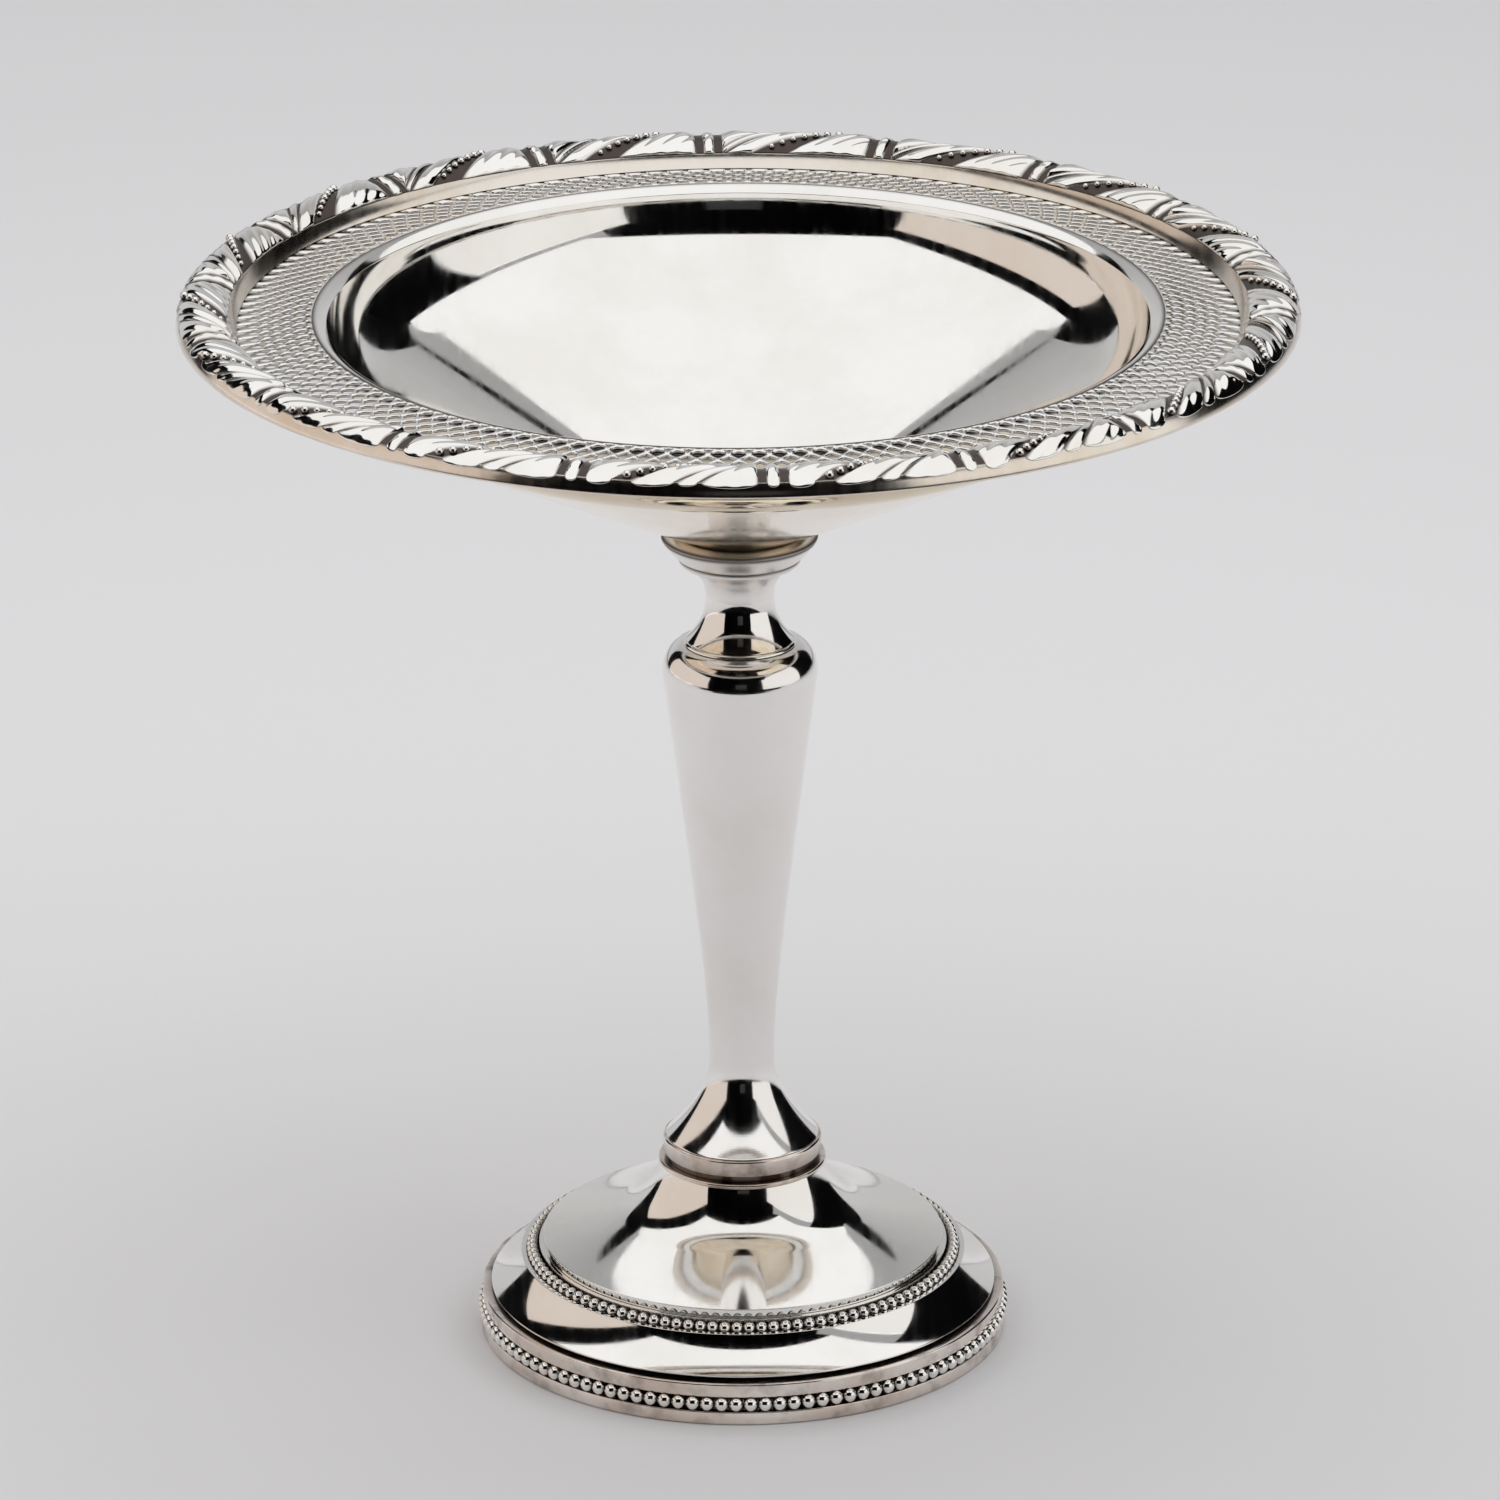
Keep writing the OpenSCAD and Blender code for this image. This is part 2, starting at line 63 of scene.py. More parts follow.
def middle(node):
    return (top(node) + low(node)) / 2


# Profiles: lists of (radius, height) points
SHARP_TURN = math.radians(22)
HOLLOW_TURN = math.radians(10)
# How far, in mm, the painted shade and tarnish of a hollow corner reaches
SHADE_AND_TARNISH_REACH = 0.35
SUPPORT = 0.05


def arc(c, a, b, t0, t1, n=24):
    """Part of an ellipse about c with half axes a and b, from angle t0 to t1."""
    t = np.radians(np.linspace(t0, t1, n + 1))
    return [(c[0] + a * math.cos(x), c[1] + b * math.sin(x)) for x in t]


def bow(p, q, turn, n=24):
    """A round arc from p to q whose heading turns by the given degrees."""
    dx, dy = q[0] - p[0], q[1] - p[1]
    turn = math.radians(turn)
    h0 = math.atan2(dy, dx) - turn / 2
    r = math.hypot(dx, dy) / (2 * math.sin(turn / 2))
    c = (p[0] - r * math.sin(h0), p[1] + r * math.cos(h0))
    heads = [h0 + turn * i / n for i in range(n + 1)]
    return [(c[0] + r * math.sin(h), c[1] - r * math.cos(h)) for h in heads]


def hollow(p, q, faces, bend):
    """Three joined arcs from p up to q.

    faces are the slopes of the wall at the ends and joints, bend is the middle radius.
    """
    a = np.radians(faces)
    reach, rise = np.diff(np.cos(a)), -np.diff(np.sin(a))
    ends = np.linalg.solve([[reach[0], reach[2]], [rise[0], rise[2]]],
                           [p[0] - q[0] - bend * reach[1], q[1] - p[1] - bend * rise[1]])
    out = [p]
    for i, r in enumerate((ends[0], bend, ends[1])):
        r0, z0 = out[-1]
        out += [(r0 - r * (math.cos(t) - math.cos(a[i])), z0 + r * (math.sin(a[i]) - math.sin(t)))
                for t in np.linspace(a[i], a[i + 1], 25)[1:]]
    return out


def span(a, b):
    return math.hypot(b[0] - a[0], b[1] - a[1])


def along(a, b, d):
    """The point at distance d from a on the way to b."""
    length = span(a, b)
    return a[0] + (b[0] - a[0]) * d / length, a[1] + (b[1] - a[1]) * d / length


def cleaned(points):
    """Drops points that fall on the one before."""
    out = []
    for p in points:
        if not out or span(out[-1], p) > 1e-4:
            out.append((float(p[0]), float(p[1])))
    return out


def corner_turn(a, b, c):
    t = math.atan2(c[1] - b[1], c[0] - b[0]) - math.atan2(b[1] - a[1], b[0] - a[0])
    return (t + math.pi) % (2 * math.pi) - math.pi


def softened(points, radius, closed):
    """Rounds every sharp corner of a profile with a small arc."""
    out = []
    n = len(points)
    for i, b in enumerate(points):
        a, c = points[i - 1], points[(i + 1) % n]
        t = corner_turn(a, b, c)
        open_end = not closed and i in (0, n - 1)
        if open_end or abs(t) < SHARP_TURN:
            out.append(b)
            continue
        cut = min(radius * math.tan(abs(t) / 2), 0.42 * span(a, b), 0.42 * span(b, c))
        out += bow(along(b, a, cut), along(b, c, cut), math.degrees(t), 5)
    return out


def supported(points, d, closed):
    """Adds a point close to each end of a long straight stretch, so that shading stays true."""
    out = []
    n = len(points)
    for i in range(n if closed else n - 1):
        a, b = points[i], points[(i + 1) % n]
        out.append(a)
        if span(a, b) > 5 * d:
            out += [along(a, b, d), along(b, a, d)]
    if not closed:
        out.append(points[-1])
    return out


def shade_and_tarnish_in_hollows(points):
    """Painted shade and tarnish: 1 in a hollow corner of the profile and 0 away from it."""
    n = len(points)
    p = np.array(points)
    area = sum(p[i][0] * p[(i + 1) % n][1] - p[(i + 1) % n][0] * p[i][1] for i in range(n))
    sign = 1 if area > 0 else -1
    value = np.zeros(n)
    for i in range(1, n - 1):
        if sign * corner_turn(points[i - 1], points[i], points[i + 1]) < -HOLLOW_TURN:
            d = np.hypot(p[:, 0] - p[i, 0], p[:, 1] - p[i, 1])
            value = np.maximum(value, np.exp(-(d / SHADE_AND_TARNISH_REACH) ** 2))
    return value


# Meshes
def new_mesh(name, verts, faces, smooth=True):
    mesh = bpy.data.meshes.new(name)
    mesh.from_pydata([tuple(v) for v in verts], [], [tuple(int(i) for i in f) for f in faces])
    mesh.update()
    if smooth:
        mesh.polygons.foreach_set("use_smooth", [True] * len(mesh.polygons))
    obj = bpy.data.objects.new(name, mesh)
    bpy.context.scene.collection.objects.link(obj)
    return obj


def set_shade_and_tarnish(obj, values):
    """Stores for each point how much painted shade and tarnish it carries; the silver reads it."""
    layer = obj.data.attributes.new("shade_and_tarnish", "FLOAT", "POINT")
    layer.data.foreach_set("value", np.asarray(values, np.float32))


def dress(obj, material, node):
    obj.data.materials.append(material)
    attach(obj, "root")
    if node:
        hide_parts(node)
    return obj


def ring_faces(a, b, segments):
    """Faces between two rows of points; a row on the axis repeats one point."""
    a_point, b_point = a[0] == a[1], b[0] == b[1]
    faces = []
    if a_point and b_point:
        return faces
    for j in range(segments):
        k = (j + 1) % segments
        if a_point:
            faces.append((a[0], b[k], b[j]))
        elif b_point:
            faces.append((a[j], a[k], b[0]))
        else:
            faces.append((a[j], a[k], b[k], b[j]))
    return faces


def lathe(name, points, node, material, edge=0.1, segments=224, closed=True, painted_shade_and_tarnish=None):
    """Turns a profile round the axis; edge rounds its corners, and the last argument adds painted shade and
    tarnish by radius and height.
    """
    points = softened(cleaned(points), edge, closed)
    points = cleaned(supported(points, SUPPORT, closed))
    shade_and_tarnish = shade_and_tarnish_in_hollows(points)
    if painted_shade_and_tarnish:
        shade_and_tarnish = np.maximum(shade_and_tarnish, [painted_shade_and_tarnish(r, z) for r, z in points])
    angle = np.arange(segments) * 2 * math.pi / segments
    verts, rows, values = [], [], []
    for (r, z), shade_and_tarnish_here in zip(np.array(points) * MM, shade_and_tarnish):
        first = len(verts)
        if r < 1e-6:
            rows.append([first] * segments)
            verts.append((0, 0, z))
            values.append(shade_and_tarnish_here)
        else:
            rows.append(list(range(first, first + segments)))
            verts += list(zip(r * np.cos(angle), r * np.sin(angle), np.full(segments, z)))
            values += [shade_and_tarnish_here] * segments
    faces = []
    count = len(rows)
    for i in range(count if closed else count - 1):
        faces += ring_faces(rows[i], rows[(i + 1) % count], segments)
    obj = new_mesh(name, verts, faces)
    set_shade_and_tarnish(obj, values)
    return dress(obj, material, node)


def unit_ball(round_n, tall_n):
    """Points and faces of a ball of radius 1."""
    points, quads = [], []
    for i in range(tall_n + 1):
        a = math.pi * i / tall_n
        for j in range(round_n):
            b = 2 * math.pi * j / round_n
            points.append((math.sin(a) * math.cos(b), math.sin(a) * math.sin(b), math.cos(a)))
    for i in range(tall_n):
        here, under_it = i * round_n, (i + 1) * round_n
        for j in range(round_n):
            k = (j + 1) % round_n
            quads.append((here + j, under_it + j, under_it + k, here + k))
    return np.array(points), quads


# Material parts, each returning the socket that carries its result
def new_material(name):
    """A material with its node tree, its shader and the object's own coordinates."""
    mat = bpy.data.materials.new(name)
    mat.use_nodes = True
    tree = mat.node_tree
    coord = tree.nodes.new("ShaderNodeTexCoord")
    return mat, tree, tree.nodes["Principled BSDF"], coord.outputs["Object"]


def noise(tree, place, scale, detail, roughness=0.5):
    node = tree.nodes.new("ShaderNodeTexNoise")
    node.inputs["Scale"].default_value = scale
    node.inputs["Detail"].default_value = detail
    node.inputs["Roughness"].default_value = roughness
    tree.links.new(place, node.inputs["Vector"])
    return node.outputs["Fac"]


def two_tones(tree, value, first, second, ends=(0.0, 1.0)):
    ramp = tree.nodes.new("ShaderNodeValToRGB")
    for stop, place, colour in zip(ramp.color_ramp.elements, ends, (first, second)):
        stop.position = place
        stop.color = (*colour, 1)
    tree.links.new(value, ramp.inputs["Fac"])
    return ramp.outputs["Color"]


def spread(tree, value, source, target):
    """Maps a value from one range to another."""
    node = tree.nodes.new("ShaderNodeMapRange")
    node.inputs["From Min"].default_value = source[0]
    node.inputs["From Max"].default_value = source[1]
    node.inputs["To Min"].default_value = target[0]
    node.inputs["To Max"].default_value = target[1]
    tree.links.new(value, node.inputs["Value"])
    return node.outputs["Result"]


def scaled_sum(tree, value, factor, addend):
    """value times factor plus addend, kept between 0 and 1."""
    node = tree.nodes.new("ShaderNodeMath")
    node.operation = "MULTIPLY_ADD"
    node.use_clamp = True
    node.inputs[1].default_value = factor
    tree.links.new(value, node.inputs[0])
    tree.links.new(addend, node.inputs[2])
    return node.outputs[0]


def bump(tree, value, strength, distance, normal=None):
    node = tree.nodes.new("ShaderNodeBump")
    node.inputs["Strength"].default_value = strength
    node.inputs["Distance"].default_value = distance
    tree.links.new(value, node.inputs["Height"])
    if normal:
        tree.links.new(normal, node.inputs["Normal"])
    return node.outputs["Normal"]


# Materials
# Dark brown that the silver mixes in: painted shade in hollows, under lips and between parts, together with
# tarnish
SHADE_AND_TARNISH_COLOUR = (0.045, 0.026, 0.019)


def silver(name, tint, worn, roughness, dark=0.85, wave=0.25, spots=0.0):
    """Polished silver: tarnish clouds, painted shade and tarnish in hollows, hairline wear and a slightly
    uneven face.
    """
    mat, tree, shader, place = new_material(name)
    shader.inputs["Metallic"].default_value = 1.0

    cloud = noise(tree, place, scale=55, detail=5, roughness=0.62)
    tone = two_tones(tree, cloud, worn, tint, ends=(0.36, 0.58))

    # Painted shade and tarnish from the mesh's point attribute, plus stain spots, darken the colour and
    # roughen the face
    shade_and_tarnish = tree.nodes.new("ShaderNodeAttribute")
    shade_and_tarnish.attribute_name = "shade_and_tarnish"
    speck = noise(tree, place, scale=260, detail=3)
    stain = spread(tree, speck, (0.5, 0.85), (0.0, spots))
    painted_shade_and_tarnish = scaled_sum(tree, shade_and_tarnish.outputs["Fac"], dark, stain)
    shade_and_tarnish_mix = tree.nodes.new("ShaderNodeMixRGB")
    shade_and_tarnish_mix.inputs["Color2"].default_value = (*SHADE_AND_TARNISH_COLOUR, 1)
    tree.links.new(painted_shade_and_tarnish, shade_and_tarnish_mix.inputs["Fac"])
    tree.links.new(tone, shade_and_tarnish_mix.inputs["Color1"])
    tree.links.new(shade_and_tarnish_mix.outputs["Color"], shader.inputs["Base Color"])

    stretch = tree.nodes.new("ShaderNodeMapping")
    stretch.inputs["Scale"].default_value = (1.0, 0.12, 0.3)
    stretch.inputs["Rotation"].default_value = (0.4, 0.2, 0.7)
    tree.links.new(place, stretch.inputs["Vector"])
    hair = noise(tree, stretch.outputs["Vector"], scale=900, detail=4)
    gloss = spread(tree, hair, (0.35, 0.75), (roughness, roughness + 0.07))
    tree.links.new(scaled_sum(tree, painted_shade_and_tarnish, 0.3, gloss), shader.inputs["Roughness"])

    swell = noise(tree, place, scale=90, detail=2)
    uneven = bump(tree, swell, wave, 0.00006)
    tree.links.new(bump(tree, hair, 0.06, 0.00001, uneven), shader.inputs["Normal"])
    return mat


def felt():
    mat, tree, shader, place = new_material("base_felt")
    shader.inputs["Roughness"].default_value = 0.95
    fibre = noise(tree, place, scale=1500, detail=4)
    tone = two_tones(tree, fibre, (0.012, 0.035, 0.018), (0.04, 0.10, 0.055))
    tree.links.new(tone, shader.inputs["Base Color"])
    tree.links.new(bump(tree, fibre, 0.6, 0.0002), shader.inputs["Normal"])
    return mat


def core_material(name, first, second, metallic):
    mat, tree, shader, place = new_material(name)
    shader.inputs["Metallic"].default_value = metallic
    shader.inputs["Roughness"].default_value = 0.6
    grain = noise(tree, place, scale=300, detail=2)
    tree.links.new(two_tones(tree, grain, first, second), shader.inputs["Base Color"])
    return mat


bright = silver("bright_silver", (0.93, 0.915, 0.89), (0.88, 0.86, 0.82), 0.045)
under = silver("under_silver", (0.90, 0.80, 0.66), (0.81, 0.69, 0.52), 0.05)
shaft_silver = silver("shaft_silver", (0.92, 0.90, 0.885), (0.87, 0.845, 0.815), 0.07, wave=0.4)
cup_silver = silver("cup_silver", (0.93, 0.91, 0.89), (0.88, 0.85, 0.82), 0.28)
aged = silver("aged_silver", (0.90, 0.83, 0.78), (0.72, 0.61, 0.53), 0.07, spots=0.8)
rim_silver = silver("rim_silver", (0.89, 0.83, 0.76), (0.78, 0.69, 0.58), 0.14)
chased = silver("chased_silver", (0.94, 0.925, 0.90), (0.89, 0.86, 0.81), 0.06, dark=0.95, wave=0.1)

# Foot: the rim on the table
FOOT_WALL = 0.8
base_r, base_top = rad("base_rim"), top("base_rim")
stand_r, base_in = base_r - 1.6, base_r - 2.86
disc_seat = 1.28
stand_edge = 0.4
lathe("foot_base_rim",
      [(stand_r, 0.0)]
      + arc((base_r - stand_edge, stand_edge), stand_edge, stand_edge, -90, -10, 8)
      + bow((base_r - 0.01, 0.5), (base_r - 0.12, base_top), 14, 8)
      + [(base_in, base_top), (base_in, disc_seat), (stand_r, disc_seat)],
      "base_rim", aged)

# Foot: the upright band over the lower beads, with painted shade and tarnish on its flat top
bead_low = top("lower_bead_wire") - low("lower_bead_wire")
band_low, band_top = top("lower_bead_wire") + SEAM, top("base_band")
band_face = band_top + 0.55
band_edge = 0.3
band_neck = base_r - 0.6 - bead_low / 2 - SEAM
band_in = band_neck - FOOT_WALL
seat_on_base = base_top + SEAM
lathe("foot_base_band",
      [(band_in, seat_on_base), (band_neck, seat_on_base), (band_neck, band_low)]
      + bow((base_r - 0.44, band_low), (base_r - 0.3, band_face - band_edge), 8, 16)
      + arc((base_r - 0.6, band_face - band_edge), band_edge, band_edge, 8, 90, 8)
      + [(band_in, band_face)],
      "base_band", aged, edge=0.04,
      painted_shade_and_tarnish=lambda r, z: 1.0 if z > band_face - 0.05 and r < base_r - 0.7 else 0.0)

# Foot: the skirt, with a ledge in which the upper beads are sunk and painted shade and tarnish under its lip
skirt_r, skirt_top = rad("foot_skirt"), top("foot_skirt")
skirt_lip = band_top + 1.2
skirt_under = skirt_lip - 0.6
skirt_out, skirt_in = band_in - SEAM, band_in - SEAM - FOOT_WALL
bead_up = top("upper_bead_wire") - low("upper_bead_wire")
bead_up_r = rad("upper_bead_wire") - bead_up / 2
bead_seat = low("upper_bead_wire") - SEAM
bead_out, bead_in = bead_up_r + bead_up / 2 + SEAM, bead_up_r - bead_up / 2 - SEAM
ledge_r, ledge_z = bead_up_r + 1.63, bead_seat + 0.65
skirt_neck_in = bead_in - 1.4
lathe("foot_skirt_shell",
      [(skirt_out, seat_on_base), (skirt_out, skirt_under), (skirt_r, skirt_lip - 0.2)]
      + bow((skirt_r, skirt_lip), (ledge_r, ledge_z), -24, 40)
      + [(bead_out, ledge_z), (bead_out, bead_seat), (bead_in, bead_seat), (bead_in, skirt_top),
         (skirt_neck_in, skirt_top), (skirt_neck_in, bead_seat - 0.6),
         (skirt_in, skirt_under), (skirt_in, seat_on_base)],
      "foot_skirt", bright, edge=0.08,
      painted_shade_and_tarnish=lambda r, z: 1.0 if z < skirt_lip - 0.17 else 0.0)

# Foot: the hollow-sided dome
dome_r, dome_top = rad("foot_dome"), top("foot_dome")
dome_low = skirt_top + SEAM
dome_lip = dome_low + 1.15
dome_plug, dome_in = dome_r - FOOT_WALL - SEAM, dome_r - 2 * FOOT_WALL - SEAM
plug_low = dome_low - 1.2
collar_r = rad("foot_collar")
dome_neck = collar_r - 0.34
dome_bore = 7.0
dome_curve = hollow((dome_r, dome_lip), (dome_neck, dome_top), (76, 66, 42, 18), 10.0)
lathe("foot_dome_shell",
      [(dome_plug, dome_low), (dome_r, dome_low)]
      + dome_curve
      + [(dome_bore, dome_top), (dome_bore, dome_top - 0.6), (dome_neck - 1.2, dome_top - 0.6)]
      + [(r - 0.5, z - 0.5) for r, z in dome_curve[60:10:-7]]
      + [(dome_in, dome_lip - 0.6), (dome_in, plug_low), (dome_plug, plug_low)],
      "foot_dome", bright, edge=0.12)

# Foot: the collar, with painted shade and tarnish where the ring stands on it
collar_low, collar_top = low("foot_collar"), top("foot_collar")
lathe("foot_collar_disc",
      [(dome_bore, collar_low)]
      + arc((collar_r - 0.3, middle("foot_collar")), 0.3, (collar_top - collar_low) / 2, -90, 90, 10)
      + [(dome_bore, collar_top)],
      "foot_collar", aged, edge=0.05,
      painted_shade_and_tarnish=lambda r, z: 0.9 if z > collar_top - 0.2 and r < collar_r - 0.4 else 0.0)


# Foot: the two bead wires
def beads(name, node, count, ring_r, size):
    """A ring of small balls, with painted shade where they touch each other and on their side towards the
    wall behind them.
    """
    unit, quads = unit_ball(14, 9)
    ball = unit * size / 2
    # Painted shade: darker towards the wall behind and where neighbouring balls touch
    behind = np.exp(-((unit[:, 0] + 1.0) / 0.8) ** 2)
    beside = np.clip((np.abs(unit[:, 1]) - 0.72) / 0.28, 0, 1)
    painted_shade_and_tarnish = np.clip(np.maximum(behind, beside), 0, 1)
    x, y, z = ball[:, 0] + ring_r, ball[:, 1], ball[:, 2] + middle(node)
    verts, faces, values = [], [], []
    for k in range(count):
        a = 2 * math.pi * k / count
        c, s = math.cos(a), math.sin(a)
        faces += [tuple(len(verts) + i for i in q) for q in quads]
        verts += (np.stack([x * c - y * s, x * s + y * c, z], 1) * MM).tolist()
        values += painted_shade_and_tarnish.tolist()
    obj = new_mesh(name, verts, faces)
    set_shade_and_tarnish(obj, values)
    return dress(obj, chased, node)


beads("foot_lower_beads", "lower_bead_wire", 114, rad("lower_bead_wire") - bead_low / 2, bead_low)
beads("foot_upper_beads", "upper_bead_wire", 110, bead_up_r, bead_up)

# Stem: the ring, over a groove darkened with painted shade and tarnish
ring_r, ring_z = rad("stem_ring"), low("stem_ring")
shaft_z, shaft_top = low("stem_shaft"), top("stem_shaft")
ring_edge = 0.35
ring_top = shaft_z - SEAM
flare_r = ring_r - ring_edge
groove_r, groove_top = ring_r - 0.45, ring_z + 0.85
tenon_in, tenon_r, tenon_top = 6.6, 7.3, shaft_z + 1.27
lathe("stem_ring_bead",
      [(tenon_in, ring_z), (groove_r, ring_z), (groove_r, groove_top), (ring_r - 0.12, groove_top)]
      + arc((flare_r, ring_top - ring_edge), ring_edge, ring_edge, 0, 90, 12)
      + [(tenon_r, ring_top), (tenon_r, tenon_top), (tenon_in, tenon_top)],
      "stem_ring", aged, edge=0.06,
      painted_shade_and_tarnish=lambda r, z: 1.0 if r < ring_r - 0.3 and z < groove_top + 0.05 else 0.0)

# Stem: the shaft, from the flare through the taper to the shoulder
waist_r, flare_h = 4.52, 11.6
shoulder_r, shoulder_h = rad("stem_shaft"), 4.1
shoulder_z = shaft_top - shoulder_h
flange_r = rad("neck_flange")
flare_top = shaft_z + flare_h
bore_r = 3.65
taper_ease = 0.2


def taper(u):
    """Share of the widening at u, from 0 at the waist to 1 at the shoulder, easing in."""
    full = math.sqrt(1 + taper_ease * taper_ease) - taper_ease
    return (math.sqrt(u * u + taper_ease * taper_ease) - taper_ease) / full


shaft_side = hollow((flare_r, shaft_z), (waist_r, flare_top), (46, 28, 4, 0), 9.2)
shaft_side += [(waist_r + (shoulder_r - waist_r) * taper(u), flare_top + (shoulder_z - flare_top) * u)
               for u in np.linspace(0, 1, 41)]
shaft_side += arc((flange_r - 0.15, shoulder_z), shoulder_r - flange_r + 0.15, shoulder_h, 0, 90, 24)[1:]
lathe("stem_shaft_shell",
      [(flare_r - 1.2, shaft_z)]
      + shaft_side
      + [(bore_r, shaft_top), (bore_r, shaft_top - 0.6), (bore_r + 0.3, shaft_top - 30),
         (waist_r - 0.6, flare_top), (waist_r - 0.4, flare_top - 5)],
      "stem_shaft", shaft_silver, edge=0.1)

# Stem: the thin flange and the neck
flange_low, flange_top = low("neck_flange"), top("neck_flange")
flange_edge = 0.55
flange_foot = 0.06
lathe("stem_neck_flange",
      [(bore_r, flange_low), (flange_r - 0.2, flange_low)]
      + arc((flange_r - flange_edge, flange_low + flange_foot),
            flange_edge, flange_top - flange_low - flange_foot, 0, 90, 14)
      + [(bore_r, flange_top)],
      "neck_flange", bright, edge=0.04)

neck_low, neck_top = low("stem_neck"), top("stem_neck")
neck_foot, neck_r = rad("stem_neck"), 4.72
neck_turn = 2 * math.degrees(math.atan2(neck_foot - neck_r, neck_top - neck_low))
neck_end = neck_top + 2 * SEAM
lathe("stem_neck_collar",
      [(bore_r, neck_low)]
      + bow((neck_foot, neck_low), (neck_r, neck_top), -neck_turn, 36)
      + [(neck_r, neck_end), (bore_r, neck_end)],
      "stem_neck", bright, edge=0.01)

# Cup under the bowl: a flaring neck, a turned bead and a wide rounded edge
cup_low, cup_top, cup_r = low("bowl_cup"), top("bowl_cup"), rad("bowl_cup")
rod_r = 2.03
cup_edge, cup_edge_z = 0.3, cup_top - 0.65
turned_r, turned_low, turned_top = cup_r - 2.45, cup_low + 4.7, cup_low + 4.7 + 0.9
lathe("bowl_cup_turning",
      [(rod_r, cup_low + 4.6), (rod_r, cup_low)]
      + bow((neck_r, cup_low), (turned_r - 0.52, turned_low - 0.05), -66, 24)
      + bow((turned_r - 0.22, turned_low - 0.05), (turned_r + 0.02, turned_top), 80, 14)
      + bow((turned_r + 0.22, turned_top), (cup_r - 0.07, cup_edge_z - 0.19), 18, 16)
      + arc((cup_r - cup_edge, cup_edge_z), cup_edge, cup_edge, -40, 58, 10)
      + bow((cup_r - 0.14, cup_edge_z + 0.25), (cup_r - 2.15, cup_top), 24, 14)
      + [(5.2, cup_top - 1.73), (rod_r, cup_top - 1.76)],
      "bowl_cup", cup_silver, edge=0.02)

# Bowl: a sloping floor, a round bouge that leans to the lip, and the ledge for the gallery
lip_top, bowl_r = top("bowl"), rad("bowl")
well_r, bouge_r, bowl_t = 55.8, 13.0, 0.7
LEAN_DEG, SLOPE_DEG = 85.0, 26.0
lean, slope = math.radians(LEAN_DEG), math.radians(SLOPE_DEG)
lip_z = lip_top - 0.9
gal_in = bowl_r - 0.9
ledge_low = lip_top - 1.2
bouge_c = (well_r - bouge_r * math.sin(lean), lip_z + bouge_r * math.cos(lean))
floor_end = (bouge_c[0] + bouge_r * math.sin(slope), bouge_c[1] - bouge_r * math.cos(slope))
floor_r = 5.0
floor_z = floor_end[1] - (floor_end[0] - floor_r) * math.tan(slope)
lathe("bowl_dish",
      bow((0.0, floor_z - 0.35), (floor_r * 2, floor_z + floor_r * math.tan(slope)), 26, 16)
      + arc(bouge_c, bouge_r, bouge_r, SLOPE_DEG - 90, LEAN_DEG - 90, 60)
      + bow((well_r, lip_z), (gal_in - SEAM, lip_top), -30, 14)
      + [(gal_in - SEAM, lip_top - 0.6), (bowl_r, lip_top - 0.7), (bowl_r, ledge_low)],
      "bowl", bright, edge=0.14, segments=288, closed=False)
lathe("bowl_underside",
      [(bowl_r, ledge_low)]
      + arc(bouge_c, bouge_r + bowl_t, bouge_r + bowl_t, LEAN_DEG - 94, SLOPE_DEG - 90, 40)
      + [(floor_r, floor_z - bowl_t / math.cos(slope)), (0.0, floor_z - bowl_t - 0.4)],
      None, under, edge=0.14, segments=288, closed=False)

# Pierced gallery: a strip one arch wide, cut by constrained triangulation and repeated round the ring
ARCHES = 140
ROWS = 5
EDGE_RIB = 0.35
RIB = 0.54
OUTER_BAND = 2.1
GALLERY_FALL = 0.108
GALLERY_T = 0.45
PITCH_R = 63
POINTED, ROUND_IN, ROUND_OUT = 1.22, 2.0, 1.9
gal_out = rad("pierced_gallery")
pitch = 2 * math.pi * PITCH_R / ARCHES
step = (gal_out - OUTER_BAND - gal_in - EDGE_RIB) / (ROWS + 1)


def opening(u0, r0, half_w, half_l, p_in, p_out, n=20):
    """A lens about (u0, r0): power 2 gives a round end, a lower power a pointed one."""
    pts = []
    for i in range(n):
        t = 2 * math.pi * i / n
        c, s = math.cos(t), math.sin(t)
        p = p_in if s < 0 else p_out
        k = (abs(c) ** p + abs(s) ** p) ** (-1 / p)
        pts.append((u0 + half_w * k * c, r0 + half_l * k * s))
    return pts


def gallery_openings():
    """Rows of lenses, shifted by half an arch from row to row, and small arches along the inner edge."""
    half_w, half_l = pitch / 2, step
    left = 1 - RIB / 2 * math.hypot(half_w, half_l) / (half_w * half_l)
    out = []
    for k in range(ROWS):
        r0 = gal_in + EDGE_RIB + step * (k + 1)
        p_in = ROUND_IN if k == 0 else POINTED
        p_out = ROUND_OUT if k == ROWS - 1 else POINTED
        for u in ((-1, 0, 1) if k % 2 == 0 else (-0.5, 0.5)):
            out.append(opening(u * pitch, r0, half_w * left, half_l * left, p_in, p_out))
    half_round = np.radians(np.linspace(0, 180, 9))
    arch_r = gal_in + EDGE_RIB - 0.05
    for u in (-0.5, 0.5):
        out.append([(u * pitch + 0.62 * math.cos(t), arch_r + 0.5 * math.sin(t)) for t in half_round])
    return out


def inside_polygon(p, poly):
    x, y = p
    odd = False
    for (x0, y0), (x1, y1) in zip(poly, poly[1:] + poly[:1]):
        if (y0 > y) != (y1 > y) and x < x0 + (y - y0) * (x1 - x0) / (y1 - y0):
            odd = not odd
    return odd


